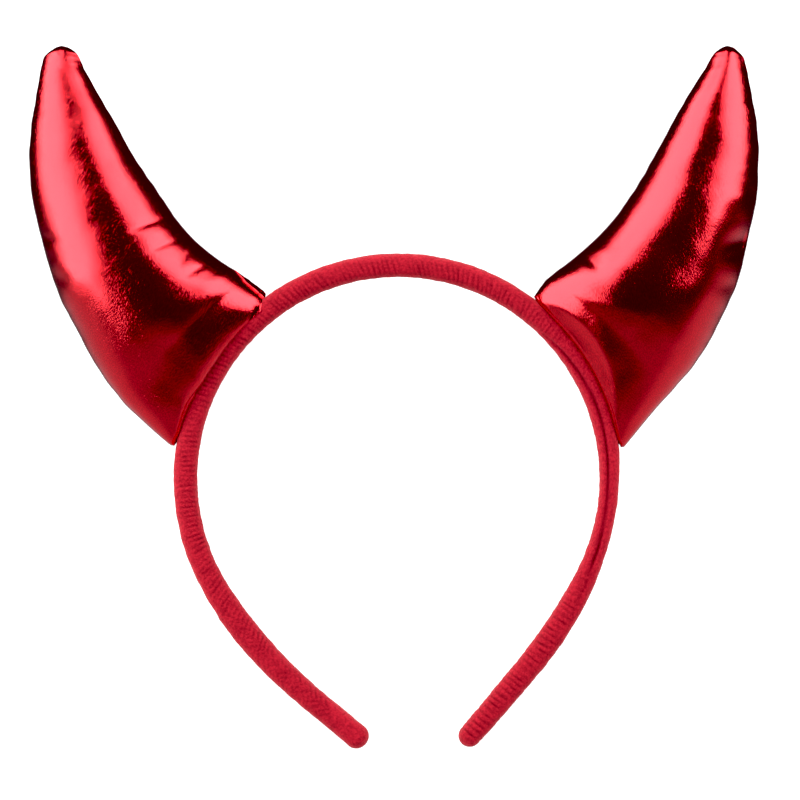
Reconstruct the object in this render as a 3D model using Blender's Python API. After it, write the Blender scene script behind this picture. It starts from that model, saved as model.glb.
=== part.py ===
"""Devil horns headband: a ribbed cloth-covered hoop with two stuffed horns of metallic cloth.

Everything is designed in the hoop's own plane, seen from the front:
x runs to the right, y up towards the crown and z towards the viewer,
with the centre of the head circle at (0, 0, 0).
An empty then lays the whole thing on its back, as it rests on a table.
"""
import math

import bmesh
import bpy
from mathutils import Matrix, Vector

MM = 0.001

# The hoop's inner line, which sits on the head: a circle, and on each side a wider bend and a straight end
HEAD_RADIUS = 62.5 * MM
ARMS = {
    "left": {"circle_below_middle": 33.6, "bend_radius": 151 * MM, "bend_angle": 16.8, "straight": 19.3 * MM},
    "right": {"circle_below_middle": 27.9, "bend_radius": 166 * MM, "bend_angle": 11.7, "straight": 30.1 * MM},
}

# The hoop's padded cover
BAND_DEPTH = 9.0 * MM
BAND_THICKNESS = {  # columns: distance from the crown along the inner line (mm), thickness (mm)
    "left": [(0, 7.4), (70, 7.4), (99, 7.4), (122, 7.6), (131, 7.7), (140, 8.2), (149, 8.4), (160, 8.1), (178, 7.6)],
    "right": [(0, 7.4), (70, 7.5), (80, 7.4), (89, 6.8), (99, 6.1), (115, 5.9), (122, 6.2), (131, 7.1), (140, 7.7),
              (150, 7.9), (160, 7.8), (178, 7.5), (192, 6.9)],
}
RIB_PITCH = 2.0 * MM
GROOVE_INSIDE = 0.35 * MM
GROOVE_OUTSIDE = 0.18 * MM
SMOOTH_END = 9.0 * MM
END_ROUNDING = 3.6 * MM
END_RINGS = (0.03, 0.12, 0.3, 0.6, 1.0)  # shares of the rounding
BAND_SECTION = [  # columns: share of the thickness from the inner face, share of the depth from the middle
    (0.00, -0.30), (0.20, -0.50), (0.76, -0.50), (1.00, -0.24),
    (1.00, 0.24), (0.76, 0.50), (0.20, 0.50), (0.00, 0.30),
]

# The horns: one row for each section from the tip to the base, in mm
# columns: inner seam x, inner seam y, outer seam x, outer seam y, half depth, bow towards the tip
HORN_SECTIONS = {
    "left": [
        (-104.0, 134.0, -106.3, 133.9, 1.5, 0.0),
        (-100.9, 132.2, -109.6, 131.4, 4.2, 0.8),
        (-97.8, 126.9, -111.5, 126.0, 6.4, 0.6),
        (-93.1, 118.5, -113.0, 116.8, 9.0, 0.3),
        (-87.9, 109.5, -114.5, 106.7, 11.4, 0.0),
        (-82.3, 99.5, -114.7, 94.5, 13.1, 0.0),
        (-76.0, 90.2, -113.0, 82.7, 14.4, 0.0),
        (-70.1, 81.5, -109.9, 70.3, 15.4, 0.0),
        (-63.9, 74.0, -105.6, 56.9, 16.1, 0.0),
        (-57.1, 68.4, -99.2, 44.5, 16.2, 0.3),
        (-50.5, 64.1, -91.9, 31.7, 15.0, 1.2),
        (-46.0, 61.0, -82.3, 20.2, 11.6, 3.2),
        (-42.3, 58.3, -71.0, 10.2, 5.6, 5.6),
    ],
    "right": [
        (101.2, 134.0, 103.6, 133.7, 1.5, 0.0),
        (98.4, 132.0, 106.2, 131.2, 3.9, 0.8),
        (95.3, 127.2, 108.3, 126.0, 6.2, 0.6),
        (90.3, 119.4, 109.8, 117.6, 8.8, 0.3),
        (85.4, 110.7, 111.4, 107.6, 11.2, 0.0),
        (80.1, 101.1, 111.6, 96.4, 12.9, 0.0),
        (74.8, 91.7, 110.7, 85.2, 14.2, 0.0),
        (68.9, 83.0, 108.2, 74.0, 15.2, 0.0),
        (62.7, 75.6, 105.3, 61.6, 16.0, 0.0),
        (55.8, 69.4, 99.4, 48.5, 16.3, 0.3),
        (49.3, 64.4, 92.2, 36.1, 15.3, 1.2),
        (45.3, 61.0, 81.3, 23.6, 11.6, 3.2),
        (42.5, 56.9, 69.7, 10.0, 5.6, 5.6),
    ],
}
# Dents and folds pressed into the panels
# columns: place along (0 tip, 1 base), place across (-1 outer seam, 1 inner seam), half length along, half width
# across, depth (mm)
HORN_DENTS = {
    "left": [
        (0.60, 0.78, 0.022, 0.34, 1.3),
        (0.69, 0.80, 0.022, 0.32, 1.1),
        (0.78, 0.80, 0.022, 0.30, 0.9),
        (0.62, -0.82, 0.030, 0.22, 0.7),
        (0.76, -0.84, 0.030, 0.22, 0.7),
    ],
    "right": [
        (0.50, -0.66, 0.030, 0.36, 1.6),
        (0.60, -0.84, 0.026, 0.24, 1.1),
        (0.71, -0.84, 0.028, 0.22, 0.8),
        (0.66, 0.84, 0.024, 0.22, 0.7),
    ],
}
HORN_RINGS = 26
HORN_STEPS_ACROSS = 11
PANEL_FULLNESS = 0.58
MOUTH_FULLNESS = 0.32
MOUTH_STARTS = 0.80
CORNER_LIFT = 1.5 * MM
CORNER_SHARPNESS = 8

# Touching pieces keep this gap
GAP = 0.3 * MM

# How it rests: the horns' backs and the hoop's two ends carry it
REST_TILT = math.radians(4.8)
REST_CENTRE = Vector((1.6, -24.9, 10.9)) * MM


def start_empty_scene(name):
    for thing in list(bpy.data.objects):
        bpy.data.objects.remove(thing, do_unlink=True)
    collection = bpy.data.collections.new(name)
    bpy.context.scene.collection.children.link(collection)
    return collection


def make_material(name, colour, roughness, metallic):
    material = bpy.data.materials.new(name)
    material.use_nodes = True
    shader = material.node_tree.nodes["Principled BSDF"]
    shader.inputs["Base Color"].default_value = (*colour, 1.0)
    shader.inputs["Roughness"].default_value = roughness
    shader.inputs["Metallic"].default_value = metallic
    return material


def read_table(rows, place):
    """Straight-line reading of a two-column table."""
    for (start, first), (end, second) in zip(rows, rows[1:]):
        if place <= end:
            share = max(0.0, (place - start) / (end - start))
            return first + (second - first) * share
    return rows[-1][1]


def read_rows_smoothly(rows, share):
    """All columns at a share of the way down the rows, on a smooth curve through them."""
    place = share * (len(rows) - 1)
    index = min(int(place), len(rows) - 2)
    t = place - index
    before = rows[max(index - 1, 0)]
    after = rows[min(index + 2, len(rows) - 1)]
    values = []
    for a, b, c, d in zip(before, rows[index], rows[index + 1], after):
        smooth = b + 0.5 * t * (c - a + t * (2 * a - 5 * b + 4 * c - d + t * (3 * (b - c) + d - a)))
        values.append(smooth)
    return values


def side_of(distance):
    return "left" if distance < 0 else "right"


def arm_length(side):
    arm = ARMS[side]
    circle = HEAD_RADIUS * math.radians(90 + arm["circle_below_middle"])
    bend = arm["bend_radius"] * math.radians(arm["bend_angle"])
    return circle + bend + arm["straight"]


def point_on_inner_line(distance):
    """Point and outward direction at a distance from the crown, negative to the left."""
    side = side_of(distance)
    arm = ARMS[side]
    mirror = -1 if side == "left" else 1
    left_over = abs(distance)
    turned = 0.0
    centre = Vector((0, 0))
    runs = (
        (HEAD_RADIUS, math.radians(90 + arm["circle_below_middle"])),
        (arm["bend_radius"], math.radians(arm["bend_angle"])),
    )
    radius = HEAD_RADIUS
    for next_radius, angle in runs:
        outward = Vector((math.sin(turned), math.cos(turned)))
        centre = centre + outward * (radius - next_radius)
        radius = next_radius
        step = min(left_over / radius, angle)
        turned += step
        left_over -= step * radius
        if left_over <= 0:
            break
    outward = Vector((math.sin(turned), math.cos(turned)))
    along = Vector((math.cos(turned), -math.sin(turned)))
    point = centre + outward * radius + along * left_over
    return Vector((mirror * point.x, point.y)), Vector((mirror * outward.x, outward.y))


def band_thickness(distance):
    return read_table(BAND_THICKNESS[side_of(distance)], abs(distance) / MM) * MM


def band_ring(distance, is_groove):
    """One closed ring of the cover: flat inner face, rounded outer face, drawn in at a groove and at the ends."""
    point, outward = point_on_inner_line(distance)
    thickness = band_thickness(distance)
    to_end = arm_length(side_of(distance)) - abs(distance)
    size = 1.0
    if to_end < END_ROUNDING:
        size = math.sqrt(1 - (1 - to_end / END_ROUNDING) ** 2)
    ring = []
    for thickness_share, depth_share in BAND_SECTION:
        out = thickness_share * thickness
        deep = depth_share * BAND_DEPTH
        if is_groove:
            inward = GROOVE_INSIDE + (GROOVE_OUTSIDE - GROOVE_INSIDE) * thickness_share
            out += inward * (1 - 2 * thickness_share)
            deep -= math.copysign(inward, deep)
        out = thickness / 2 + (out - thickness / 2) * size
        ring.append((point.x + outward.x * out, point.y + outward.y * out, deep * size))
    return ring


def band_places():
    """Where the rings go: two to a rib, closer together round the two ends."""
    left_end = -arm_length("left")
    right_end = arm_length("right")
    end_steps = [END_ROUNDING * share for share in END_RINGS]
    places = [(left_end + step, False) for step in end_steps]
    first_rib = math.ceil((left_end + SMOOTH_END) / RIB_PITCH)
    last_rib = math.floor((right_end - SMOOTH_END) / RIB_PITCH)
    for rib in range(first_rib, last_rib):
        places.append((rib * RIB_PITCH, False))
        places.append(((rib + 0.5) * RIB_PITCH, True))
    places.append((last_rib * RIB_PITCH, False))
    places += [(right_end - step, False) for step in reversed(end_steps)]
    return places


def make_band():
    mesh = bmesh.new()
    rings = []
    for distance, is_groove in band_places():
        rings.append([mesh.verts.new(corner) for corner in band_ring(distance, is_groove)])
    join_rings(mesh, rings)
    mesh.faces.new(rings[0])
    mesh.faces.new(rings[-1])
    return finish_mesh(mesh, "ribbed_band")


def join_rings(mesh, rings):
    for ring, next_ring in zip(rings, rings[1:]):
        count = len(ring)
        for index in range(count):
            after = (index + 1) % count
            mesh.faces.new((ring[index], ring[after], next_ring[after], next_ring[index]))


def finish_mesh(mesh, name):
    bmesh.ops.recalc_face_normals(mesh, faces=mesh.faces)
    data = bpy.data.meshes.new(name)
    mesh.to_mesh(data)
    mesh.free()
    return bpy.data.objects.new(name, data)


def dent_depth(side, along, across):
    depth = 0.0
    for dent_along, dent_across, length, width, deep in HORN_DENTS[side]:
        away = ((along - dent_along) / length) ** 2 + ((across - dent_across) / width) ** 2
        depth += deep * math.exp(-away)
    return depth * MM


def base_place(side, across):
    """The horn's last ring follows the band's outer face and stands off it a little at its two corners."""
    inner_x, inner_y, outer_x, outer_y = HORN_SECTIONS[side][-1][:4]
    mirror = -1 if side == "left" else 1
    inner_turn = math.atan2(mirror * inner_x, inner_y)
    outer_turn = math.atan2(mirror * outer_x, outer_y)
    turn = outer_turn + (inner_turn - outer_turn) * (across + 1) / 2
    lift = CORNER_LIFT * across ** CORNER_SHARPNESS
    radius = HEAD_RADIUS + band_thickness(mirror * turn * HEAD_RADIUS) + GAP + lift
    return Vector((mirror * math.sin(turn) * radius, math.cos(turn) * radius))


def panel_place(side, along, across):
    """Where a point of the seam plane lies: -1 is the outer seam, 1 the inner one."""
    if along >= 1:
        return base_place(side, across)
    inner_x, inner_y, outer_x, outer_y, half_depth, bow = read_rows_smoothly(HORN_SECTIONS[side], along)
    inner = Vector((inner_x, inner_y)) * MM
    outer = Vector((outer_x, outer_y)) * MM
    chord = inner - outer
    towards_tip = Vector((-chord.y, chord.x)).normalized()
    if towards_tip.y < 0:
        towards_tip.negate()
    return (inner + outer) / 2 + chord * across / 2 + towards_tip * bow * MM * (1 - across ** 2)


def panel_height(side, along, across):
    """How far the stuffed panel stands out from the seam plane."""
    half_depth = read_rows_smoothly(HORN_SECTIONS[side], along)[4] * MM
    into_mouth = max(0.0, (along - MOUTH_STARTS) / (1 - MOUTH_STARTS))
    fullness = PANEL_FULLNESS + (MOUTH_FULLNESS - PANEL_FULLNESS) * into_mouth
    crown = half_depth * max(0.0, 1 - across ** 2) ** fullness
    return max(0.0, crown - dent_depth(side, along, across))


def make_horn_panel(side, face, rest_pose):
    """Half a horn: a crowned panel with its stuffing, flat on the seam plane."""
    direction = 1 if face == "front" else -1
    steps = [-math.cos(math.pi * k / HORN_STEPS_ACROSS) for k in range(HORN_STEPS_ACROSS + 1)]
    mesh = bmesh.new()
    rings = []
    for index in range(HORN_RINGS):
        along = index / (HORN_RINGS - 1)
        crowned = []
        flat = []
        for across in steps:
            place = panel_place(side, along, across)
            height = GAP / 2 + panel_height(side, along, across)
            crowned.append(mesh.verts.new(rested(place, direction * height, rest_pose)))
            if abs(across) < 1 - 1e-6:
                flat.append(mesh.verts.new((place.x, place.y, direction * GAP / 2)))
        rings.append(crowned + flat[::-1])
    join_rings(mesh, rings)
    close_end(mesh, rings[0])
    close_end(mesh, rings[-1])
    return finish_mesh(mesh, f"horn_{side}_{face}_panel")


def close_end(mesh, ring):
    """Close a panel's end with strips between its crowned side and its flat side."""
    count = HORN_STEPS_ACROSS
    flat = [ring[0]] + ring[:count:-1] + [ring[count]]
    mesh.faces.new((ring[0], ring[1], flat[1]))
    for step in range(1, count - 1):
        mesh.faces.new((ring[step], ring[step + 1], flat[step + 1], flat[step]))
    mesh.faces.new((ring[count - 1], ring[count], flat[count - 1]))


def rested(place, height, rest_pose):
    """A point of the cloth, pressed flat where it would reach below the table."""
    point = rest_pose @ Vector((place.x, place.y, height))
    point.z = max(point.z, 0.0)
    return rest_pose.inverted() @ point


def press_ends_flat(band, rest_pose):
    for vertex in band.data.vertices:
        vertex.co = rested(vertex.co, vertex.co.z, rest_pose)


def main():
    collection = start_empty_scene("devil_horns_headband")
    ribbed_knit = make_material("red_ribbed_knit", (0.55, 0.004, 0.018), 0.85, 0.0)
    metallic_cloth = make_material("red_metallic_cloth", (0.62, 0.002, 0.012), 0.22, 1.0)

    rest_pose = Matrix.Translation(REST_CENTRE) @ Matrix.Rotation(REST_TILT, 4, "X")
    lying = bpy.data.objects.new("lying_on_its_back", None)
    lying.location = REST_CENTRE
    lying.rotation_euler.x = REST_TILT
    collection.objects.link(lying)

    band = make_band()
    press_ends_flat(band, rest_pose)
    pieces = [(band, ribbed_knit)]
    for side in ("left", "right"):
        for face in ("front", "back"):
            pieces.append((make_horn_panel(side, face, rest_pose), metallic_cloth))

    for piece, material in pieces:
        piece.data.materials.append(material)
        piece.data.shade_smooth()
        collection.objects.link(piece)
        piece.parent = lying


main()
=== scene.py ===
# %% [markdown]
# # A devil horns headband
# A springy hoop in a ribbed knit cover carries two stuffed horns of shiny red metallic cloth.
# The solids of the hoop and of the horns' four panels are loaded first. They are plain, so this lesson makes
# each visible piece again as fine cloth over them, and then lights it so that the metallic cloth has
# something bright and something dark to reflect.

import math

import bmesh
import bpy
import numpy as np
from mathutils import Matrix, Vector, noise


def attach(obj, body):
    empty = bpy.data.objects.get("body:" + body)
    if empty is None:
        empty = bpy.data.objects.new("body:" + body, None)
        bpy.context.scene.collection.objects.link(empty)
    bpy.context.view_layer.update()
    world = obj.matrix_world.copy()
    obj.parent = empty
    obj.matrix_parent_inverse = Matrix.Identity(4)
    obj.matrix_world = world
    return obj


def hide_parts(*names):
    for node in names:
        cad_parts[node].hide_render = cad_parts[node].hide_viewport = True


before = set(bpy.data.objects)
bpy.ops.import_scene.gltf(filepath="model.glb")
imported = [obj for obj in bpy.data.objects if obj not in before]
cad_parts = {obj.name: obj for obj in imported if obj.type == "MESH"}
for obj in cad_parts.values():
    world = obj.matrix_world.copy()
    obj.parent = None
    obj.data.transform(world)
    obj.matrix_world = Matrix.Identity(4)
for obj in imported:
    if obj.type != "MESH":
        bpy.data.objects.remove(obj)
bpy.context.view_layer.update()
MM = 0.001
print("solids:", sorted(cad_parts))

# %% [markdown]
# ## How it lies
# The headband lies on its back. The horns are fatter than the hoop, so the hoop's plane tilts a little.
# The pieces could be built lying down, but it is easier to shape everything in the hoop's own plane, x to the
# right, y to the crown and z to the viewer, with the middle of the head circle at zero. One matrix then lays
# each finished point down.

# %% Lay a point of the hoop's plane down on the table
REST_TILT = math.radians(4.8)
HOOP_CENTRE = Vector((1.6, -24.9, 10.9)) * MM
LYING = Matrix.Translation(HOOP_CENTRE) @ Matrix.Rotation(REST_TILT, 4, "X")


def lay_down(x, y, z):
    """The point on the table, with the cloth pressed flat where it would reach below it."""
    point = LYING @ Vector((x, y, z))
    point.z = max(point.z, 0.0)
    return point


print("middle of the head circle in mm:", [round(value / MM, 1) for value in lay_down(0, 0, 0)])

# %% [markdown]
# ## The camera
# The photo looks straight down on the hoop's plane from far away, so the head circle stays round.
# One pixel is 0.311 mm there, which gives the lens once the distance is chosen. A nearer camera with a wider
# lens would show more of the horns' sides than the photo does.

# %% Look straight at the hoop's plane
PIXEL = 0.311 * MM
PHOTO_PIXELS = 800
VIEW_CENTRE = (0.5 * MM, 24.3 * MM)
CAMERA_DISTANCE = 1.2
SENSOR = 36.0

camera = bpy.data.objects.new("camera", bpy.data.cameras.new("camera"))
bpy.context.scene.collection.objects.link(camera)
camera.data.sensor_width = SENSOR
camera.data.lens = SENSOR * CAMERA_DISTANCE / (PIXEL * PHOTO_PIXELS)
camera.location = lay_down(*VIEW_CENTRE, CAMERA_DISTANCE)
camera.rotation_euler = LYING.to_euler()
bpy.context.scene.camera = camera
print("lens in mm:", round(camera.data.lens, 1))

# %% [markdown]
# ## The light
# Metallic cloth shows its surroundings more than itself. Each horn has two bright stripes with a dark one
# between them. They could be painted on, but would then stay put when the view moves. So two large softboxes
# stand left and right of the camera, with darkness straight above, and a third, smaller one behind the crown
# lights the tips.

# %% Fade a softbox towards its edges
SOFT_EDGE = 0.14


def soften_edges(data):
    """Let a softbox fade towards its edges, as its cloth does far from the lamp."""
    data.use_nodes = True
    nodes = data.node_tree.nodes
    links = data.node_tree.links
    place = nodes.new("ShaderNodeNewGeometry")
    split = nodes.new("ShaderNodeSeparateXYZ")
    links.new(place.outputs["Parametric"], split.inputs[0])
    both = nodes.new("ShaderNodeMath")
    both.operation = "MULTIPLY"
    for axis in (0, 1):
        to_middle = nodes.new("ShaderNodeMath")
        to_middle.operation = "PINGPONG"
        to_middle.inputs[1].default_value = 0.5
        fade = nodes.new("ShaderNodeMapRange")
        fade.interpolation_type = "SMOOTHSTEP"
        fade.inputs["From Max"].default_value = SOFT_EDGE
        links.new(split.outputs[axis], to_middle.inputs[0])
        links.new(to_middle.outputs[0], fade.inputs["Value"])
        links.new(fade.outputs["Result"], both.inputs[axis])
    links.new(both.outputs[0], nodes["Emission"].inputs["Strength"])


print("faded share of a softbox, at each edge:", SOFT_EDGE)

# %% Hang three softboxes
LIGHTS = {  # columns: compass angle from +x, angle from straight up, distance, width, height (m), brightness
    "left_softbox": (157, 60.5, 1.0, 1.80, 1.21, 4.8),
    "right_softbox": (31, 59, 1.0, 1.06, 0.96, 4.8),
    "back_softbox": (97, 57, 1.1, 0.50, 0.80, 3.0),
}


def hang_light(name, compass, from_up, distance, width, height, brightness):
    data = bpy.data.lights.new(name, "AREA")
    data.shape = "RECTANGLE"
    data.size = width
    data.size_y = height
    data.energy = brightness * math.pi * width * height
    light = bpy.data.objects.new(name, data)
    bpy.context.scene.collection.objects.link(light)
    around = math.radians(compass)
    down = math.radians(from_up)
    direction = Vector((math.cos(around) * math.sin(down), math.sin(around) * math.sin(down), math.cos(down)))
    light.location = direction * distance
    light.rotation_euler = direction.to_track_quat("Z", "Y").to_euler()
    light.visible_camera = False
    soften_edges(data)
    print(f"{name}: {data.energy:.1f} W")


for light_name, settings in LIGHTS.items():
    hang_light(light_name, *settings)

# %% [markdown]
# ## The surroundings
# The room behind the lights is the world. It is dark, but its front wall is paler, which fills the horns'
# bellies with an even red, and so is the ground far below, which gives the cloth its thin greyish rim.
# More lamps could do this too, but each would show as a spot with an edge. A slow change of grey doesn't.

# %% A dark room with a paler front wall and ground
ROOM_DARK = (0.030, 0.026, 0.026, 1.0)
PALE_PLACES = [  # rows: brightness, then by axis the coordinate where it starts and where it is full
    (0.38, {"Y": (-0.38, -0.72)}),
    (0.62, {"Y": (-0.08, -0.36), "Z": (0.52, 0.15)}),
    (0.15, {"Z": (-0.75, -0.98)}),
]

world = bpy.data.worlds.new("dark_room")
bpy.context.scene.world = world
world.use_nodes = True
world_nodes = world.node_tree.nodes
world_links = world.node_tree.links
direction_node = world_nodes.new("ShaderNodeTexCoord")
split_direction = world_nodes.new("ShaderNodeSeparateXYZ")
world_links.new(direction_node.outputs["Generated"], split_direction.inputs[0])


def add_pale_place(before, brightness, limits):
    """Mix a grey in where the direction's coordinates pass from where it starts to where it is full."""
    mix = world_nodes.new("ShaderNodeMix")
    mix.data_type = "RGBA"
    mix.inputs["A"].default_value = ROOM_DARK
    mix.inputs["B"].default_value = (brightness, brightness, brightness, 1.0)
    if before is not None:
        world_links.new(before.outputs["Result"], mix.inputs["A"])
    share = None
    for axis, (starts, full) in limits.items():
        ramp = world_nodes.new("ShaderNodeMapRange")
        ramp.interpolation_type = "SMOOTHSTEP"
        ramp.inputs["From Min"].default_value = starts
        ramp.inputs["From Max"].default_value = full
        world_links.new(split_direction.outputs[axis], ramp.inputs["Value"])
        if share is not None:
            world_links.new(share.outputs["Result"], ramp.inputs["To Max"])
        share = ramp
    world_links.new(share.outputs["Result"], mix.inputs["Factor"])
    return mix


room = None
for brightness, limits in PALE_PLACES:
    room = add_pale_place(room, brightness, limits)
world_links.new(room.outputs["Result"], world_nodes["Background"].inputs["Color"])
print("pale places in the room:", len(PALE_PLACES))

# %% [markdown]
# ## The ground
# A white sweep: a flat floor whose far edge curves up all round, so that no horizon shows from the side.
# It is turned like a bowl from one profile, which is less work than bending a sheet. The cloth doesn't
# reflect it, as if it were far off. It casts no shadow either, so the pale ground behind it still reaches
# the cloth.

# %% Turn a white sweep
SWEEP_FLAT = 1.6
SWEEP_CURVE = 1.2
SWEEP_WALL = 3.0
SWEEP_STEPS = 10
SWEEP_SIDES = 64
MERGE_DISTANCE = 0.0001

sweep_mesh = bmesh.new()
profile = [(0.0, 0.0), (SWEEP_FLAT, 0.0)]
for step in range(1, SWEEP_STEPS + 1):
    turn = math.pi / 2 * step / SWEEP_STEPS
    profile.append((SWEEP_FLAT + SWEEP_CURVE * math.sin(turn), SWEEP_CURVE * (1 - math.cos(turn))))
profile.append((SWEEP_FLAT + SWEEP_CURVE, SWEEP_WALL))
profile_points = [sweep_mesh.verts.new((out, 0, up)) for out, up in profile]
profile_edges = [sweep_mesh.edges.new(pair) for pair in zip(profile_points, profile_points[1:])]
bmesh.ops.spin(
    sweep_mesh, geom=profile_points + profile_edges, axis=(0, 0, 1), cent=(0, 0, 0), angle=math.tau,
    steps=SWEEP_SIDES, use_merge=True,
)
bmesh.ops.remove_doubles(sweep_mesh, verts=sweep_mesh.verts, dist=MERGE_DISTANCE)
bmesh.ops.recalc_face_normals(sweep_mesh, faces=sweep_mesh.faces)
sweep_data = bpy.data.meshes.new("white_sweep")
sweep_mesh.to_mesh(sweep_data)
sweep_mesh.free()
sweep_data.shade_smooth()
sweep = bpy.data.objects.new("white_sweep", sweep_data)
bpy.context.scene.collection.objects.link(sweep)
sweep.visible_glossy = False
sweep.visible_shadow = False
print("the sweep reaches, in m:", SWEEP_FLAT + SWEEP_CURVE)

# %% Paint the sweep
SWEEP_GREY = 0.50
SWEEP_GLOW = 0.75

sweep_paint = bpy.data.materials.new("white_paint")
sweep_paint.use_nodes = True
sweep_shader = sweep_paint.node_tree.nodes["Principled BSDF"]
sweep_shader.inputs["Base Color"].default_value = (SWEEP_GREY, SWEEP_GREY, SWEEP_GREY, 1)
sweep_shader.inputs["Roughness"].default_value = 1.0
sweep_shader.inputs["Specular IOR Level"].default_value = 0.0
sweep_shader.inputs["Emission Color"].default_value = (1, 1, 1, 1)
sweep_shader.inputs["Emission Strength"].default_value = SWEEP_GLOW
sweep_data.materials.append(sweep_paint)
print("the sweep glows with", SWEEP_GLOW, "of its own, so that it stays white in the horns' shade")

# %% [markdown]
# ## How the picture is developed
# A camera shows a deep red purer than it is. Taking a little off the green and blue blacks does the same
# here, and leaves the whites as they are. Purer base colours alone can't do it, because the lacquer's
# reflections are white.

# %% Deepen the reds
GREEN_BLACK = 0.017
BLUE_BLACK = 0.012

view = bpy.context.scene.view_settings
view.view_transform = "Standard"
view.use_curve_mapping = True
view.curve_mapping.black_level = (0.0, GREEN_BLACK, BLUE_BLACK)
view.curve_mapping.update()
print("blacks taken off green and blue:", GREEN_BLACK, BLUE_BLACK)

# %% [markdown]
# ## The hoop's line
# The hoop is bent from one springy strip. Its inner line is a circle round the head, which each arm leaves
# for a wider bend and then a straight end. A curve object could follow it, but walking along it by distance
# also gives every rib and every stretch of the seam its place.

# %% Walk along the hoop's inner line
HEAD_RADIUS = 62.5 * MM
ARMS = {  # both angles in degrees
    "left": {
        "circle_below_middle": 33.6,
        "bend_radius": 151 * MM,
        "bend_angle": 16.8,
        "straight": 19.3 * MM,
    },
    "right": {
        "circle_below_middle": 27.9,
        "bend_radius": 166 * MM,
        "bend_angle": 11.7,
        "straight": 30.1 * MM,
    },
}


def side_of(distance):
    return "left" if distance < 0 else "right"


def mirror_of(side):
    return -1 if side == "left" else 1


def arm_length(side):
    arm = ARMS[side]
    circle = HEAD_RADIUS * math.radians(90 + arm["circle_below_middle"])
    return circle + arm["bend_radius"] * math.radians(arm["bend_angle"]) + arm["straight"]


def point_on_inner_line(distance):
    """Point and outward direction at a distance from the crown, negative to the left."""
    side = side_of(distance)
    arm = ARMS[side]
    left_over = abs(distance)
    turned = 0.0
    radius = HEAD_RADIUS
    centre = Vector((0, 0))
    runs = (
        (HEAD_RADIUS, math.radians(90 + arm["circle_below_middle"])),
        (arm["bend_radius"], math.radians(arm["bend_angle"])),
    )
    for next_radius, angle in runs:
        outward = Vector((math.sin(turned), math.cos(turned)))
        centre = centre + outward * (radius - next_radius)
        radius = next_radius
        step = min(left_over / radius, angle)
        turned += step
        left_over -= step * radius
        if left_over <= 0:
            break
    outward = Vector((math.sin(turned), math.cos(turned)))
    along = Vector((math.cos(turned), -math.sin(turned)))
    point = centre + outward * radius + along * max(left_over, 0.0)
    mirror = mirror_of(side)
    return Vector((mirror * point.x, point.y)), Vector((mirror * outward.x, outward.y))


print("inner line in mm:", round((arm_length("left") + arm_length("right")) / MM, 1))

# %% [markdown]
# ## How thick the hoop looks
# The padded cover isn't even: it is thinnest on the right side, where the hoop is twisted a little, and
# fattest on the lower arms. Its section is between a circle and a rounded box.

# %% Thickness along the hoop and roundness of its section
BAND_DEPTH = 9.0 * MM
ROUND_ACROSS = 0.72  # power of the cosine, 1 for an ellipse
ROUND_DEEP = 0.82  # power of the sine, 1 for an ellipse
BAND_THICKNESS = {  # columns: distance from the crown along the inner line, thickness, in mm
    "left": [
        (0, 7.4), (70, 7.4), (99, 7.4), (122, 7.6), (131, 7.7),
        (140, 8.2), (149, 8.4), (160, 8.1), (178, 7.6),
    ],
    "right": [
        (0, 7.4), (70, 7.5), (80, 7.4), (89, 6.8), (99, 6.1), (115, 5.9), (122, 6.2), (131, 7.1),
        (140, 7.7), (150, 7.9), (160, 7.8), (178, 7.5), (192, 6.9),
    ],
}


def read_table(rows, place):
    """Straight-line reading of a two-column table."""
    places, values = zip(*rows)
    return float(np.interp(place, places, values))


def band_thickness(distance):
    return read_table(BAND_THICKNESS[side_of(distance)], abs(distance) / MM) * MM


def hoop_front_height(share):
    """Height of the hoop's front at a share of its thickness, 0 inside and 1 outside."""
    cosine = min(abs(1 - 2 * share), 1.0) ** (1 / ROUND_ACROSS)
    return BAND_DEPTH / 2 * math.sqrt(1 - cosine ** 2) ** ROUND_DEEP


print("thickness at the crown in mm:", band_thickness(0) / MM)
print("height of the hoop's front in mm:", round(hoop_front_height(0.5) / MM, 2))

# %% [markdown]
# ## The horns' sections
# A horn is two panels cut to the same curved outline, sewn together and stuffed. Reading across it from
# the outer seam to the inner one, each section is a chord with a crowned half lens on either side.
# Thirteen rows describe a horn from the tip to the base, and a smooth curve runs through them. The left horn
# isn't the right one mirrored, because two stuffed horns never come out quite the same.

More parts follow.
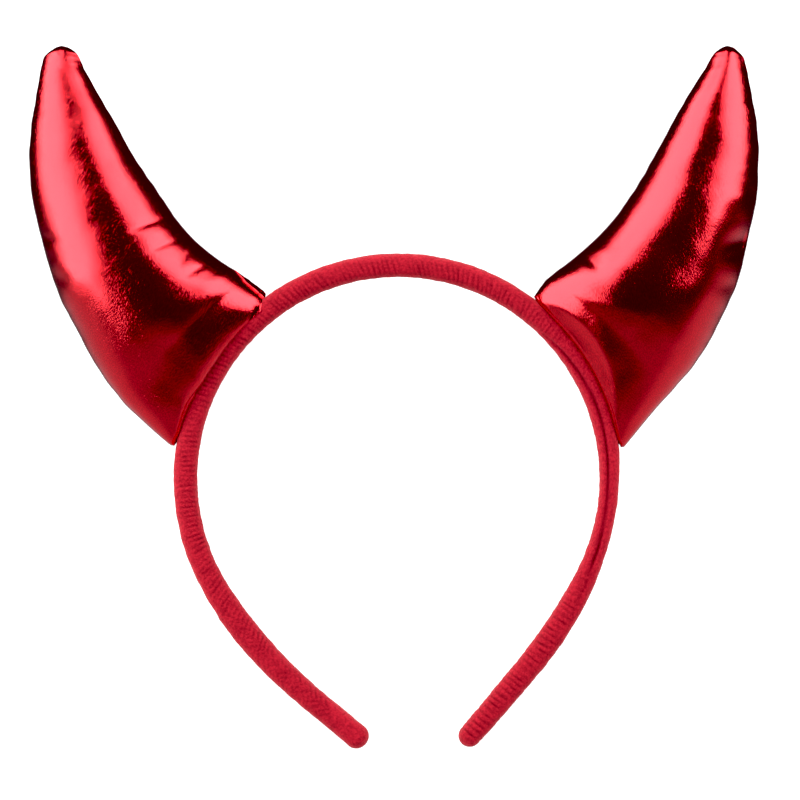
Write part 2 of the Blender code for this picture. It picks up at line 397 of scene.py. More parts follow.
# %% Tables of the two horns
HORN_SECTIONS = {  # columns: inner seam x, y, outer seam x, y, half depth, bow towards the tip, in mm
    "left": [
        (-103.0, 134.0, -106.5, 134.0, 1.5, 0.0),
        (-100.3, 132.0, -110.0, 131.2, 4.2, 0.8),
        (-97.8, 126.9, -111.5, 126.0, 6.4, 0.6),
        (-93.1, 118.5, -113.0, 116.8, 9.0, 0.3),
        (-87.9, 109.5, -114.5, 106.7, 11.4, 0.0),
        (-82.3, 99.5, -114.7, 94.5, 13.1, 0.0),
        (-76.0, 90.2, -113.0, 82.7, 14.4, 0.0),
        (-70.1, 81.5, -109.9, 70.3, 15.4, 0.0),
        (-63.9, 74.0, -105.6, 56.9, 16.1, 0.0),
        (-57.1, 68.4, -99.2, 44.5, 16.2, 0.3),
        (-50.5, 64.1, -91.9, 31.7, 15.0, 1.2),
        (-46.0, 61.0, -82.3, 20.2, 11.6, 3.2),
        (-42.3, 58.3, -71.0, 10.2, 5.8, 5.6),
    ],
    "right": [
        (100.7, 134.0, 103.8, 134.0, 1.5, 0.0),
        (98.2, 132.0, 106.8, 131.2, 3.9, 0.8),
        (95.3, 127.2, 108.3, 126.0, 6.2, 0.6),
        (90.3, 119.4, 109.8, 117.6, 8.8, 0.3),
        (85.4, 110.7, 111.4, 107.6, 11.2, 0.0),
        (80.1, 101.1, 111.6, 96.4, 12.9, 0.0),
        (74.8, 91.7, 110.7, 85.2, 14.2, 0.0),
        (68.9, 83.0, 108.2, 74.0, 15.2, 0.0),
        (62.7, 75.6, 105.3, 61.6, 16.0, 0.0),
        (55.8, 69.4, 99.4, 48.5, 16.3, 0.3),
        (49.3, 64.4, 92.2, 36.1, 15.3, 1.2),
        (45.3, 61.0, 81.3, 23.6, 11.6, 3.2),
        (42.5, 56.9, 69.7, 10.0, 5.8, 5.6),
    ],
}


def read_rows_smoothly(rows, share):
    """All columns at a share of the way down the rows, on a smooth curve through them."""
    place = min(max(share, 0.0), 1.0) * (len(rows) - 1)
    index = min(int(place), len(rows) - 2)
    t = place - index
    a = np.array(rows[max(index - 1, 0)])
    b = np.array(rows[index])
    c = np.array(rows[index + 1])
    d = np.array(rows[min(index + 2, len(rows) - 1)])
    return b + 0.5 * t * (c - a + t * (2 * a - 5 * b + 4 * c - d + t * (3 * (b - c) + d - a)))


def horn_length(side):
    first = HORN_SECTIONS[side][0]
    last = HORN_SECTIONS[side][-1]
    return math.dist((first[0] + first[2], first[1] + first[3]), (last[0] + last[2], last[1] + last[3])) / 2


print("length of each horn in mm:", {side: round(horn_length(side), 1) for side in HORN_SECTIONS})

# %% [markdown]
# ## Where the cloth lies
# The last section has to meet the round outer face of the hoop, so near the base the chord is blended
# into an arc round the head. A cut through both meshes would leave a hard edge there. The left horn's hem
# laps over the hoop's front.

# %% The hem on the hoop
HEM_LAP = {  # rows: place across, how far the hem laps over the hoop in mm
    ("left", "front"): [
        (-1, -1.5), (-0.85, -0.2), (-0.5, 0.5), (-0.25, 2.2), (0.0, 2.7), (0.85, 2.7), (0.93, 0.5), (1, -1.5),
    ],
}
PLAIN_LAP = [(-1, -1.5), (-0.9, -0.1), (-0.7, 0.35), (0.7, 0.35), (0.9, -0.1), (1, -1.5)]


def hem_lap(side, face, across):
    return read_table(HEM_LAP.get((side, face), PLAIN_LAP), across) * MM


def base_turn(side, across):
    """Angle from the crown, round the head, of a place on the horn's base."""
    inner_x, inner_y, outer_x, outer_y = HORN_SECTIONS[side][-1][:4]
    mirror = mirror_of(side)
    inner = math.atan2(mirror * inner_x, inner_y)
    outer = math.atan2(mirror * outer_x, outer_y)
    return outer + (inner - outer) * (across + 1) / 2


def on_hoop(side, across, off_face=0.0):
    """A place on the hoop's outer face, or off it by some distance."""
    mirror = mirror_of(side)
    turn = base_turn(side, across)
    radius = HEAD_RADIUS + band_thickness(mirror * turn * HEAD_RADIUS) + off_face
    return Vector((mirror * math.sin(turn) * radius, math.cos(turn) * radius))


print("inner corner of the left base in mm:", [round(value / MM, 1) for value in on_hoop("left", 1)])

# %% A place in the seam plane
BLEND_FROM = 0.90  # share of the way from the tip to the base


def smooth_step(value, low, high):
    t = min(max((value - low) / (high - low), 0.0), 1.0)
    return t * t * (3 - 2 * t)


def seam_plane_place(side, face, along, across):
    """Along runs from 0 at the tip to 1 at the base, across from -1 at the outer seam to 1 at the inner."""
    inner_x, inner_y, outer_x, outer_y, _, bow = read_rows_smoothly(HORN_SECTIONS[side], along)
    inner = Vector((inner_x, inner_y)) * MM
    outer = Vector((outer_x, outer_y)) * MM
    chord = inner - outer
    to_tip = Vector((-chord.y, chord.x)).normalized()
    if to_tip.y < 0:
        to_tip.negate()
    place = (inner + outer) / 2 + chord * across / 2 + to_tip * bow * MM * (1 - across ** 2)
    at_base = on_hoop(side, across, -hem_lap(side, face, across))
    return place.lerp(at_base, smooth_step(along, BLEND_FROM, 1.0))


halfway = seam_plane_place("left", "front", 0.5, 0)
print("middle of the left horn in mm:", [round(value / MM, 1) for value in halfway])

# %% [markdown]
# ## Dents and pleats
# Curved panels pucker where the inner seam is shorter than the cloth beside it. A simulation would fold
# them anywhere, so the deep pleats and dents that show are placed one by one, each a short trough with its
# own direction. One has less than no depth: it is a soft ridge between two pleats.

# %% Tables of the dents
DENTS = {  # rows: x, y, direction in degrees, half length, half width, depth, in mm
    "left": [
        (-76.5, 79.0, 22, 5.4, 1.1, 0.62),
        (-72.0, 72.2, 24, 4.6, 0.8, 0.34),
        (-62.8, 64.2, 30, 3.0, 1.1, 0.36),
        (-72.5, 76.5, 24, 3.5, 1.6, -0.25),
        (-66.0, 68.5, 70, 2.6, 1.2, 0.30),
        (-108.5, 74.0, 160, 4.0, 1.6, 0.45),
        (-105.0, 62.0, 155, 4.0, 1.8, 0.45),
        (-112.5, 113.0, 175, 3.0, 1.6, 0.35),
        (-52.7, 43.7, 24, 2.8, 0.35, 0.12),
    ],
    "right": [
        (107.5, 73.6, 28, 6.0, 3.0, 2.10),
        (109.5, 87.5, 60, 3.0, 1.6, 0.45),
        (59.6, 67.4, -42, 3.6, 2.2, 0.90),
        (104.0, 60.0, 20, 4.0, 2.2, 0.50),
        (110.5, 117.5, 20, 3.0, 1.5, 0.45),
    ],
}


def dent_depth(side, x, y):
    depth = 0.0
    for dent_x, dent_y, degrees, length, width, deep in DENTS[side]:
        away_x = x / MM - dent_x
        away_y = y / MM - dent_y
        turn = math.radians(degrees)
        along = away_x * math.cos(turn) + away_y * math.sin(turn)
        across = away_y * math.cos(turn) - away_x * math.sin(turn)
        depth += deep * math.exp(-((along / length) ** 2) - (across / width) ** 2)
    return depth * MM


print("dents:", {side: len(rows) for side, rows in DENTS.items()})

# %% [markdown]
# ## Ripples and puckers
# Stuffed cloth is never quite even. Slow ripples over the whole panel and small tight puckers beside the
# seams come from smooth noise, which gives the same cloth every time.

# %% Ripples and puckers
RIPPLES = [(17.0, 0.55), (7.5, 0.16), (3.4, 0.045)]  # columns: size, height, in mm
PUCKER_SIZE = 2.6
PUCKER_HEIGHT = 0.30
PUCKER_REACH = 3.0
PUCKER_SLICE = 0.3  # which slice of the noise is read
PUCKER_SEEDS = {"inner": 5.5, "outer": 9.5}


def ripples(x, y, seed):
    height = 0.0
    for size, high in RIPPLES:
        height += high * noise.noise(Vector((x / MM / size, y / MM / size, seed + size)))
    return height * MM


def puckers(run, to_seam, seed):
    """Small ripples across a seam: run is the distance along it, to_seam the distance from it, in mm."""
    wave = noise.noise(Vector((run / PUCKER_SIZE, seed, PUCKER_SLICE)))
    return PUCKER_HEIGHT * wave * math.exp(-to_seam / PUCKER_REACH) * MM


print("heights of the ripples together in mm:", round(sum(high for _, high in RIPPLES), 2))

# %% [markdown]
# ## How far the stuffing pushes the cloth out
# At the tip a section is a slim lens with sharp edges, and towards the base it grows full and flat on top,
# like a pillow. Both its fullness and the share of its depth that the stuffing fills change along the horn.
# The left horn's hem climbs over the hoop, while the right one falls to it in a plain facet.

# %% Fullness and stuffing along a horn
FULLNESS_ALONG = [  # rows: place along, power of the lens: small is full and flat, large is peaked
    (0.0, 1.0), (0.10, 0.95), (0.18, 0.72), (0.27, 0.58), (0.80, 0.58), (0.92, 0.50), (1.0, 0.34),
]
STUFFING_ALONG = {  # rows: place along, share of the half depth
    "left": [
        (0.0, 0.35), (0.083, 0.48), (0.167, 0.66), (0.25, 0.77), (0.333, 0.83), (0.417, 0.90),
        (0.5, 0.96), (0.58, 0.99), (0.66, 1.0),
    ],
    "right": [
        (0.0, 0.35), (0.083, 0.55), (0.167, 0.70), (0.25, 0.78), (0.333, 0.83), (0.417, 0.875),
        (0.5, 0.91), (0.66, 0.95), (0.75, 1.0),
    ],
}
SHOULDER = 0.05
SHOULDER_RUN = (0.80, 0.93)  # where along the horn the left front's shoulder grows

print("share of the half depth at the tip:", {side: rows[0][1] for side, rows in STUFFING_ALONG.items()})

# %% The right horn's facet beside the hoop
HEM_FACET = [  # rows: distance off the hoop, height, in mm
    (-1, 5.4), (0, 6.1), (2.6, 8.1), (4.2, 9.9), (6, 13), (8, 30),
]
FACET_FROM = 0.8
FACET_OUTER_RUN = (-0.9, -0.7)
FACET_INNER_RUN = (0.83, 0.95)


def distance_off_hoop(place):
    """Distance of a place in the seam plane from the hoop's outer face, in mm."""
    along_hoop = math.atan2(place.x, place.y) * HEAD_RADIUS
    return (place.length - HEAD_RADIUS - band_thickness(along_hoop)) / MM


def facet_beside_hoop(along, across, height):
    """The right horn's cloth falls to the hoop in one plain facet."""
    off_hoop = distance_off_hoop(seam_plane_place("right", "front", along, across))
    facet = read_table(HEM_FACET, off_hoop) * MM * math.sqrt(max(0.0, 1 - across ** 4))
    runs = smooth_step(across, *FACET_OUTER_RUN) * (1 - smooth_step(across, *FACET_INNER_RUN))
    return height + min(facet - height, 0.0) * runs


print("height of the facet at the hoop in mm:", read_table(HEM_FACET, 0))

# %% Crown of a horn panel
HOOP_UNDER_HORN = 7.4 * MM
LEAST_LAP = 0.3 * MM
HEM_CLEARANCE = 0.35 * MM
HEM_CLIMBS_FROM = 0.93


def crown_height(side, face, along, across):
    """How far the stuffed panel stands out from the seam plane, without its ripples and dents."""
    half_depth = read_rows_smoothly(HORN_SECTIONS[side], along)[4] * read_table(STUFFING_ALONG[side], along)
    half_depth *= MM
    fullness = read_table(FULLNESS_ALONG, along)
    reach = across
    if (side, face) == ("left", "front") and across > 0:
        reach = min(1.0, across * (1 + SHOULDER * smooth_step(along, *SHOULDER_RUN)))
    height = half_depth * max(0.0, 1 - reach ** 2) ** fullness
    if (side, face) == ("right", "front") and along > FACET_FROM:
        height = facet_beside_hoop(along, across, height)
    lap = hem_lap(side, face, across)
    if lap > LEAST_LAP:
        over_hoop = hoop_front_height(1 - lap / HOOP_UNDER_HORN) + HEM_CLEARANCE
        height += max(over_hoop - height, 0.0) * smooth_step(along, HEM_CLIMBS_FROM, 1.0)
    return height


print("crown halfway up the left horn in mm:", round(crown_height("left", "front", 0.5, 0) / MM, 1))

# %% [markdown]
# ## A panel of cloth
# On the real horn this is a flat cut piece that the stuffing pushes out. It could be cut flat, sewn and blown
# up with a cloth simulation, but its folds would fall anywhere. Here a grid is shaped by formula, and each
# fold goes where the real one has it. The grid runs from the tip to the base and across from seam to seam,
# with its columns closer together near the seams, where the cloth turns fastest. Some seam edges stand out
# a little, and the puckers pull every seam in and out along its way.

# %% A point of the finished cloth
SEAM_STANDS_OUT = {  # in mm
    ("left", "outer"): 0.0, ("left", "inner"): 0.35, ("right", "outer"): 0.40, ("right", "inner"): 0.05,
}
SEAM_REACH = 0.8  # in mm
PUCKER_SIDEWAYS = 0.6
RIPPLES_FREE_UNTIL = 0.94
RIPPLES_FULL_AT = 12  # half width of the horn, in mm
DENT_AT_SEAM = 0.25
DENT_FULL_SLOPE = 1.5
PANEL_SEEDS = {
    ("left", "front"): 3.1, ("left", "back"): 8.7, ("right", "front"): 14.2, ("right", "back"): 21.6,
}


def panel_point(side, face, along, across):
    """A point of the finished cloth, in the hoop's plane."""
    seed = PANEL_SEEDS[side, face]
    place = seam_plane_place(side, face, along, across)
    row = read_rows_smoothly(HORN_SECTIONS[side], along)
    half_width = math.dist(row[0:2], row[2:4]) / 2
    to_seam = half_width * (1 - abs(across))
    run = along * horn_length(side)
    seam = "inner" if across > 0 else "outer"
    inward = PUCKER_SIDEWAYS * puckers(run, to_seam, PUCKER_SEEDS[seam]) - SEAM_STANDS_OUT[side, seam] * MM
    inward *= math.exp(-to_seam / SEAM_REACH)
    direction = seam_plane_place(side, face, along, 0) - place
    if direction.length > 0:
        place = place + direction.normalized() * min(inward, direction.length)
    free = (1 - abs(across) ** 6) * (1 - smooth_step(along, RIPPLES_FREE_UNTIL, 1.0))
    wave = ripples(place.x, place.y, seed) * free + puckers(run, to_seam, seed)
    height = crown_height(side, face, along, across) + wave * min(1, half_width / RIPPLES_FULL_AT)
    if face == "front":
        height -= dent_depth(side, place.x, place.y) * min(1.0, to_seam / DENT_FULL_SLOPE + DENT_AT_SEAM)
    return place.x, place.y, max(height, 0.0)


cloth_point = panel_point("left", "front", 0.5, 0)
print("a point of the left horn in mm:", [round(value / MM, 1) for value in cloth_point])

# %% Turn the hem under
HEM_ROWS = 5
HEM_OVER_HOOP_LAP = 1.2 * MM
HEM_DROP = {"over the hoop": 0.5 * MM, "beside the hoop": 2.2 * MM}
HEM_TUCK = {"over the hoop": 0.15 * MM, "beside the hoop": 1.0 * MM}


def hem_point(side, face, share, across):
    """The hem past the base, turned under towards the hoop."""
    x, y, height = panel_point(side, face, 1.0, across)
    place = "over the hoop" if hem_lap(side, face, across) > HEM_OVER_HOOP_LAP else "beside the hoop"
    inward = (Vector((0, 0)) - Vector((x, y))).normalized() * HEM_TUCK[place] * math.sin(share * math.pi / 2)
    drop = HEM_DROP[place] * (1 - math.cos(share * math.pi / 2))
    return x + inward.x, y + inward.y, max(height - drop, 0.0)


print("rows of faces in a hem:", HEM_ROWS)

# %% Shape one horn panel
ROWS = 190
COLUMNS = 68
ROWS_TO_TIP = 1.15  # above 1, the rows stand closer together near the tip
TIP_LIFT = 0.5 * MM
ACROSS_STEPS = [-math.cos(math.pi * k / COLUMNS) for k in range(COLUMNS + 1)]


def row_of_corners(cloth, direction, point_at):
    """One row of the grid, from seam to seam. Direction is 1 for a front panel and -1 for a back one."""
    row = []
    for across in ACROSS_STEPS:
        x, y, height = point_at(across)
        row.append(cloth.verts.new(lay_down(x, y, direction * height)))
    return row


def shape_panel(side, face):
    direction = 1 if face == "front" else -1
    cloth = bmesh.new()
    tip_x, tip_y, _ = panel_point(side, face, 0.0, 0.0)
    rows = [[cloth.verts.new(lay_down(tip_x, tip_y + TIP_LIFT, 0.0))] * (COLUMNS + 1)]
    for index in range(ROWS + 1):
        along = (index / ROWS) ** ROWS_TO_TIP
        rows.append(row_of_corners(cloth, direction, lambda across: panel_point(side, face, along, across)))
    for index in range(1, HEM_ROWS + 1):
        share = index / HEM_ROWS
        rows.append(row_of_corners(cloth, direction, lambda across: hem_point(side, face, share, across)))
    for row, next_row in zip(rows, rows[1:]):
        for a, b, c, d in zip(row, row[1:], next_row[1:], next_row):
            corners = (a, b, c, d) if a is not b else (a, c, d)
            cloth.faces.new(corners if (face == "front") == (side == "right") else corners[::-1])
    return cloth


def finish_cloth(cloth, name):
    data = bpy.data.meshes.new(name)
    cloth.to_mesh(data)
    cloth.free()
    data.shade_smooth()
    piece = bpy.data.objects.new(name, data)
    bpy.context.scene.collection.objects.link(piece)
    print(f"{name}: {len(data.polygons)} faces")
    return piece


print("faces across a panel, from seam to seam:", COLUMNS)

# %% Make the four panels
horn_panels = {}
for side in ("left", "right"):
    for face in ("front", "back"):
        panel = finish_cloth(shape_panel(side, face), f"{side}_horn_{face}_cloth")
        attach(panel, "root")
        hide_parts(f"horn_{side}_{face}_panel")
        horn_panels[side, face] = panel

# %% [markdown]
# ## Where the ribs run
# The cover is a narrow ribbed tube pulled over the core. Pulling it on has twisted it: the ribs lie straight
# across on the right arm and lean more and more down the left one. A repeated texture would keep one spacing
# and one lean, so each rib is numbered along the hoop instead.

# %% Number the ribs
RIB_PITCH = [  # rows: distance from the crown, distance between ribs, in mm
    (-178, 2.2), (-150, 1.8), (-120, 1.5), (0, 1.5), (50, 1.5), (140, 1.8), (192, 1.9),
]
FIRST_COUNTED = -185.0
LAST_COUNTED = 200.0


def count_ribs():
    """Running number of ribs along the hoop, to be read off at any distance from the crown, in mm."""
    places = np.arange(FIRST_COUNTED, LAST_COUNTED, 1.0)
    pitches = np.interp(places, *zip(*RIB_PITCH))
    return places, np.cumsum(1 / pitches)


RIB_PLACES, RIB_NUMBERS = count_ribs()
print("ribs numbered, some past the ends:", round(RIB_NUMBERS[-1]))

# %% Lean the ribs and sink the grooves
RIB_LEAN = [  # rows: distance from the crown in mm, lean in degrees
    (-178, 53), (-160, 46), (-142, 33), (-125, 12), (-108, 2),
    (-70, 10), (0, 18), (40, 12), (90, 0), (192, 3),
]
RIB_RELIEF = [  # rows: distance from the crown, depth of the grooves, in mm
    (-178, 0.20), (-110, 0.22), (-80, 0.22), (-40, 0.16), (40, 0.15), (120, 0.28), (192, 0.34),
]
RIB_WANDER = 0.9
RIB_WANDER_SIZE = 6.0
RIB_WANDER_ACROSS = 0.8
RIB_WANDER_SEED = 2.2
GROOVE_WIDTH = 0.20


def rib_groove(distance, share):
    """0 on top of a rib and 1 down in the groove between two."""
    lean = math.tan(math.radians(read_table(RIB_LEAN, distance / MM)))
    shift = lean * (share - 0.5) * band_thickness(distance) / MM
    wander_place = Vector((distance / MM / RIB_WANDER_SIZE, share * RIB_WANDER_ACROSS, RIB_WANDER_SEED))
    wander = RIB_WANDER * noise.noise(wander_place)
    number = float(np.interp(distance / MM + shift + wander, RIB_PLACES, RIB_NUMBERS))
    to_groove = abs(number % 1.0 - 0.5)
    return math.exp(-(((0.5 - to_groove) / GROOVE_WIDTH) ** 2))


print("lean at the crown in degrees:", read_table(RIB_LEAN, 0))

# %% [markdown]
# ## The cover's seam
# The tube is closed by a seam. It lies hidden behind on the left, and on the right the twist brings it
# round to the front, where it splits the hoop into two soft cords with a deep groove between them. A dark
# line painted on alone would look flat there, because the light falls into the groove, so the groove is cut
# into the mesh, and the knit is also painted darker in it as shade.

# %% Place the seam
SEAM_PATH = [  # rows: distance from the crown in mm, share of the hoop's thickness
    (44, 0.05), (58, 0.22), (70, 0.34), (82, 0.40), (95, 0.40),
    (112, 0.44), (124, 0.52), (136, 0.66), (146, 0.78),
]
SEAM_STARTS = (44, 60)
SEAM_ENDS = (120, 146)
SEAM_DEPTH = 1.0 * MM
SEAM_WIDTH = 0.50 * MM


def seam_strength(distance):
    place = distance / MM
    return smooth_step(place, *SEAM_STARTS) * (1 - smooth_step(place, *SEAM_ENDS))


def seam_groove(distance, share):
    off_seam = (share - read_table(SEAM_PATH, distance / MM)) * band_thickness(distance)
    return seam_strength(distance) * math.exp(-((off_seam / SEAM_WIDTH) ** 2))


print("the seam shows for, in mm:", SEAM_ENDS[1] - SEAM_STARTS[0])

# %% [markdown]
# ## The ribbed cover
# The hoop could be a curve with a round bevel, and bump for its ribs, but the ribs also nick its outline. So
# the mesh is a long row of rings, five or more to a rib, each one a rounded section of the hoop with its
# points sunk into the grooves. The ribs fade on the inner and outer faces. How much painted shade a point
# gets, from lying in a rib's groove or in the seam's groove, is also written on the mesh, and the knit is
# drawn darker there.

# %% A point of the cover
END_ROUNDING = 3.6 * MM
SMOOTH_END = {"left": 8.0 * MM, "right": 2.5 * MM}
SMOOTH_END_FADE = (0.7, 1.3)
LEAST_RIBBED = 0.15
INSIDE_FADE = (-0.05, 0.18)
OUTSIDE_FADE = (0.55, 0.85)
FRONT_FADE = (-0.1, 0.3)
RIBS_LOST_AT_SEAM = 0.9
UNEVEN_RIBS = {"along": 2.5, "across": 2.5, "seed": 7.7, "least": 0.2, "middle": 0.8, "swing": 0.9}
UNEVEN_COVER = {"size": 2.2, "turns": 1.2, "seed": 4.4, "height": 0.16 * MM}
SHADE_OF_GROOVE = 0.8


def how_ribbed(distance, share, to_end, on_front):
    """How strongly the ribs stand out at a place of the cover."""
    smooth_end = SMOOTH_END[side_of(distance)]
    ribbed = smooth_step(to_end, smooth_end * SMOOTH_END_FADE[0], smooth_end * SMOOTH_END_FADE[1])
    across = smooth_step(share, *INSIDE_FADE) * (1 - smooth_step(share, *OUTSIDE_FADE))
    ribbed *= LEAST_RIBBED + (1 - LEAST_RIBBED) * across
    along = distance / MM / UNEVEN_RIBS["along"]
    uneven = noise.noise(Vector((along, share * UNEVEN_RIBS["across"], UNEVEN_RIBS["seed"])))
    ribbed *= max(UNEVEN_RIBS["least"], UNEVEN_RIBS["middle"] + UNEVEN_RIBS["swing"] * uneven)
    return ribbed * (1.0 - RIBS_LOST_AT_SEAM * seam_strength(distance) * on_front)


def unevenness(distance, turn):
    along = distance / MM / UNEVEN_COVER["size"]
    wave = noise.noise(Vector((along, turn * UNEVEN_COVER["turns"], UNEVEN_COVER["seed"])))
    return UNEVEN_COVER["height"] * wave


def band_point(distance, turn):
    """A point of the cover, and the painted shade of its rib groove or of the seam. Turn 0 is the inner face,
    a quarter turn the front."""
    point, outward = point_on_inner_line(distance)
    thickness = band_thickness(distance)
    to_end = arm_length(side_of(distance)) - abs(distance)
    size = 1.0
    if to_end < END_ROUNDING:
        size = math.sqrt(max(0.0, 1 - (1 - to_end / END_ROUNDING) ** 2))
    cosine = math.cos(turn)
    sine = math.sin(turn)
    share = 0.5 - 0.5 * math.copysign(abs(cosine) ** ROUND_ACROSS, cosine)
    deep = BAND_DEPTH / 2 * math.copysign(abs(sine) ** ROUND_DEEP, sine)
    on_front = smooth_step(sine, *FRONT_FADE)
    groove = rib_groove(distance, share) * how_ribbed(distance, share, to_end, on_front)
    seam = seam_groove(distance, share) * on_front
    sunk = read_table(RIB_RELIEF, distance / MM) * MM * groove
    sunk += unevenness(distance, turn)
    sunk += SEAM_DEPTH * seam
    length = math.hypot(cosine, sine)
    out = (share - 0.5) * thickness + cosine / length * sunk
    deep -= sine / length * sunk
    out = thickness / 2 + out * size
    place = lay_down(point.x + outward.x * out, point.y + outward.y * out, deep * size)
    # The second value is painted shade: the knit is drawn darker down in the rib grooves and darkest in the
    # seam's groove.
    return place, min(1.0, max(SHADE_OF_GROOVE * groove, seam))


print("front of the crown in mm:", [round(value / MM, 1) for value in band_point(0.0, math.pi / 2)[0]])

# %% Shape the ribbed cover
RING_STEP = 0.30 * MM
RING_POINTS = 44
END_STEPS = (0.03 * MM, 0.12 * MM)


def ring_places():
    """Where the rings go along the hoop, with two extra ones close to each end."""
    left_end = -arm_length("left")
    right_end = arm_length("right")
    count = round((right_end - left_end) / RING_STEP)
    places = [left_end + (right_end - left_end) * k / count for k in range(1, count)]
    return [left_end + step for step in END_STEPS] + places + [right_end - step for step in END_STEPS[::-1]]


def shape_cover():
    cloth = bmesh.new()
    groove_shade_layer = cloth.verts.layers.float.new("groove")
    rings = []
    for distance in ring_places():
        ring = []
        for k in range(RING_POINTS):
            place, depth = band_point(distance, math.tau * k / RING_POINTS)
            corner = cloth.verts.new(place)
            corner[groove_shade_layer] = depth
            ring.append(corner)
        rings.append(ring)
    for ring, next_ring in zip(rings, rings[1:]):
        for k in range(RING_POINTS):
            after = (k + 1) % RING_POINTS
            cloth.faces.new((ring[k], ring[after], next_ring[after], next_ring[k]))
    cloth.faces.new(rings[0])
    cloth.faces.new(rings[-1])
    bmesh.ops.recalc_face_normals(cloth, faces=cloth.faces)
    return cloth


cover = finish_cloth(shape_cover(), "ribbed_cover")
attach(cover, "root")
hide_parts("ribbed_band")

# %% [markdown]
# ## Short helpers for materials
# Both cloths are built from nodes, with no image, so they stay sharp at any distance and need no unwrapping.
# Four helpers keep that short: one adds a node, one links two, and two make a grain and a bump.

# %% Helpers for materials


def add_node(material, kind, **settings):
    node = material.node_tree.nodes.new(kind)
    for key, value in settings.items():
        if key in node.inputs:
            node.inputs[key].default_value = value
        else:
            setattr(node, key, value)
    return node


def link(material, start, output, end, socket):
    material.node_tree.links.new(start.outputs[output], end.inputs[socket])


def stretched_grain(material, degrees, across_mm, along_mm, detail):
    """Noise drawn out along one direction of the object."""
    place = add_node(material, "ShaderNodeTexCoord")
    turn = add_node(material, "ShaderNodeMapping")
    turn.inputs["Rotation"].default_value = (0, 0, -math.radians(degrees))
    stretch = add_node(material, "ShaderNodeMapping")
    stretch.inputs["Scale"].default_value = (1 / (along_mm * MM), 1 / (across_mm * MM), 1 / (across_mm * MM))
    grain = add_node(material, "ShaderNodeTexNoise", Scale=1.0, Detail=detail, Roughness=0.6)
    link(material, place, "Object", turn, "Vector")
    link(material, turn, "Vector", stretch, "Vector")
    link(material, stretch, "Vector", grain, "Vector")
    return grain


def add_bump(material, height_node, output, distance, previous=None):
    bump = add_node(material, "ShaderNodeBump", Strength=1.0, Distance=distance)
    link(material, height_node, output, bump, "Height")
    if previous is not None:
        link(material, previous, "Normal", bump, "Normal")
    return bump


# %% [markdown]
# ## Metallic cloth
# It is a knit with red foil pressed on it. The foil mirrors like coloured metal, and the clear lacquer on
# top adds a white share to the brightest reflections, which turns them pink. Pressed on a knit, the foil
# has a fine grain along one direction, so the edges of every reflection look like fur. A rough metal without
# the grain would only blur them. The grain lies at another angle on the other horn, as its panels are cut
# another way round.

# %% Numbers of the metallic cloth
FOIL_RED = (0.92, 0.001, 0.012)
FOIL_DEEP = (0.60, 0.0, 0.008)
FOIL_DULL = (0.12, 0.20)
LACQUER_ROUGHNESS = 0.15
LACQUER_IOR = 1.5
GRAIN_DIRECTION = {"left": 62, "right": 104}  # in degrees
GRAIN_SIZE = {"across": 0.27, "along": 1.1}  # in mm
GRAIN_HEIGHT = {"left": 0.058, "right": 0.050}  # in mm
HAIRLINE_SIZE = {"across": 0.40, "along": 9.0}  # in mm
HAIRLINES = {"left": 0.014, "right": 0.008}  # height in mm
HAIRLINES_SHOW = (0.63, 0.73)  # only the highest part of their noise
DEEP_SHARE = (0.62, 0.38)
PATCH_SCALE = 90.0

print("foil reflects", FOIL_RED, "and in the grain", FOIL_DEEP)

# %% Make the metallic cloth


def map_range(material, source, output, limits, ends="From"):
    """Cut a stretch out of a value, or with ends To, spread a value over a stretch."""
    ramp = add_node(material, "ShaderNodeMapRange")
    ramp.inputs[f"{ends} Min"].default_value = limits[0]
    ramp.inputs[f"{ends} Max"].default_value = limits[1]
    link(material, source, output, ramp, "Value")
    return ramp


def metallic_cloth(side):
    material = bpy.data.materials.new(f"{side}_metallic_cloth")
    material.use_nodes = True
    shader = material.node_tree.nodes["Principled BSDF"]
    shader.inputs["Metallic"].default_value = 1.0
    shader.inputs["Coat Weight"].default_value = 1.0
    shader.inputs["Coat Roughness"].default_value = LACQUER_ROUGHNESS
    shader.inputs["Coat IOR"].default_value = LACQUER_IOR
    degrees = GRAIN_DIRECTION[side]
    fine = stretched_grain(material, degrees, GRAIN_SIZE["across"], GRAIN_SIZE["along"], 1.0)
    lines = stretched_grain(material, degrees, HAIRLINE_SIZE["across"], HAIRLINE_SIZE["along"], 1.0)
    sparse = map_range(material, lines, "Fac", HAIRLINES_SHOW)
    first = add_bump(material, fine, "Fac", GRAIN_HEIGHT[side] * MM)
    both = add_bump(material, sparse, "Result", HAIRLINES[side] * MM, first)
    link(material, both, "Normal", shader, "Normal")
    link(material, both, "Normal", shader, "Coat Normal")
    tint = add_node(material, "ShaderNodeMix", data_type="RGBA")
    tint.inputs["A"].default_value = (*FOIL_RED, 1)
    tint.inputs["B"].default_value = (*FOIL_DEEP, 1)
    link(material, map_range(material, fine, "Fac", DEEP_SHARE), "Result", tint, "Factor")
    link(material, tint, "Result", shader, "Base Color")
    place = add_node(material, "ShaderNodeTexCoord")
    patches = add_node(material, "ShaderNodeTexNoise", Scale=PATCH_SCALE, Detail=3.0)
    link(material, place, "Object", patches, "Vector")
    link(material, map_range(material, patches, "Fac", FOIL_DULL, "To"), "Result", shader, "Roughness")
    return material


for side in ("left", "right"):
    foil = metallic_cloth(side)
    for face in ("front", "back"):
        horn_panels[side, face].data.materials.append(foil)
    print(foil.name, "has", len(foil.node_tree.nodes), "nodes")

# %% [markdown]
# ## Ribbed knit
# The cover is a matt knit. Between the ribs lie small knots of yarn, which show as dots where the ribs are
# stretched flat, and a short nap gives the cloth a soft, paler edge. Hairs could make the nap, but at this
# distance they would be finer than a pixel, so sheen does the same at less cost.

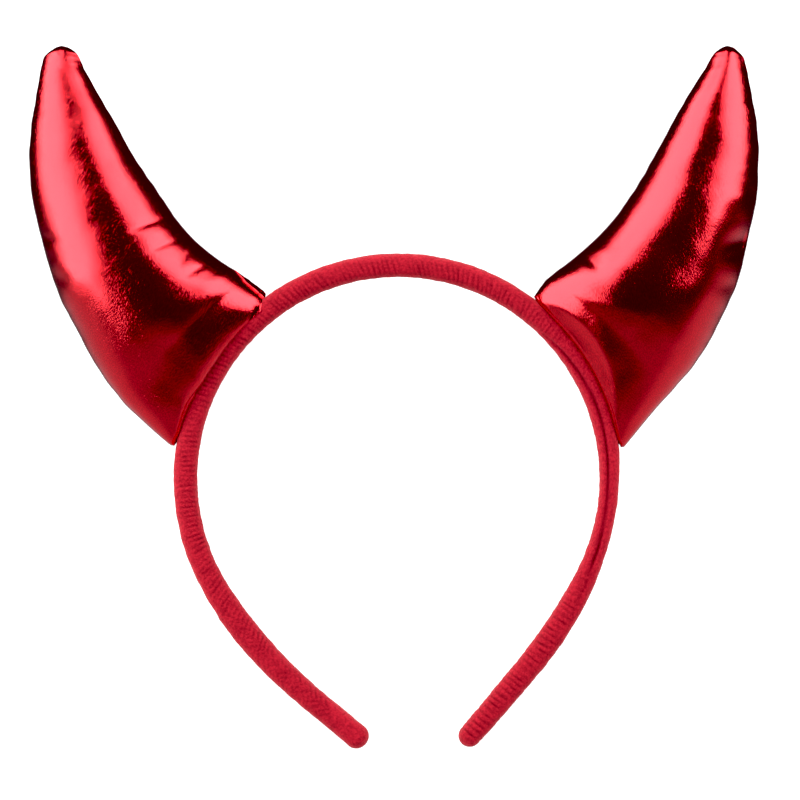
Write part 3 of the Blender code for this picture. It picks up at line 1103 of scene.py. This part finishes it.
# %% Make the ribbed knit
KNIT_RED = (0.345, 0.0105, 0.020)
KNIT_DARK = (0.235, 0.0062, 0.013)
# Painted shade: the colour drawn down in the grooves between the ribs and in the seam's groove.
GROOVE_SHADE_RED = (0.130, 0.0025, 0.006)
KNOT_SCALE = 1500.0
KNOT_HEIGHT = -0.14 * MM  # less than zero, as the pattern is lowest in the middle of a knot
YARN_SCALE = 1300.0
YARN_HEIGHT = 0.12 * MM
DARK_SHARE = (0.38, 0.60)
NAP_SHEEN = 0.12
NAP_TINT = (1.0, 0.50, 0.45, 1)


def ribbed_knit():
    material = bpy.data.materials.new("ribbed_knit")
    material.use_nodes = True
    shader = material.node_tree.nodes["Principled BSDF"]
    shader.inputs["Roughness"].default_value = 0.9
    shader.inputs["Specular IOR Level"].default_value = 0.15
    shader.inputs["Sheen Weight"].default_value = NAP_SHEEN
    shader.inputs["Sheen Roughness"].default_value = 0.5
    shader.inputs["Sheen Tint"].default_value = NAP_TINT
    place = add_node(material, "ShaderNodeTexCoord")
    knots = add_node(material, "ShaderNodeTexVoronoi", Scale=KNOT_SCALE)
    yarn = add_node(material, "ShaderNodeTexNoise", Scale=YARN_SCALE, Detail=3.0)
    link(material, place, "Object", knots, "Vector")
    link(material, place, "Object", yarn, "Vector")
    first = add_bump(material, knots, "Distance", KNOT_HEIGHT)
    both = add_bump(material, yarn, "Fac", YARN_HEIGHT, first)
    link(material, both, "Normal", shader, "Normal")
    tint = add_node(material, "ShaderNodeMix", data_type="RGBA")
    tint.inputs["A"].default_value = (*KNIT_DARK, 1)
    tint.inputs["B"].default_value = (*KNIT_RED, 1)
    link(material, map_range(material, yarn, "Fac", DARK_SHARE), "Result", tint, "Factor")
    # Painted shade: the cover's groove attribute mixes the knit towards a dark red in the rib grooves and the
    # seam's groove.
    depth = add_node(material, "ShaderNodeAttribute", attribute_name="groove")
    groove_shade_mix = add_node(material, "ShaderNodeMix", data_type="RGBA")
    groove_shade_mix.inputs["B"].default_value = (*GROOVE_SHADE_RED, 1)
    link(material, tint, "Result", groove_shade_mix, "A")
    link(material, depth, "Fac", groove_shade_mix, "Factor")
    link(material, groove_shade_mix, "Result", shader, "Base Color")
    return material


cover.data.materials.append(ribbed_knit())
print("knit colours:", KNIT_RED, KNIT_DARK, "and in the grooves", GROOVE_SHADE_RED)
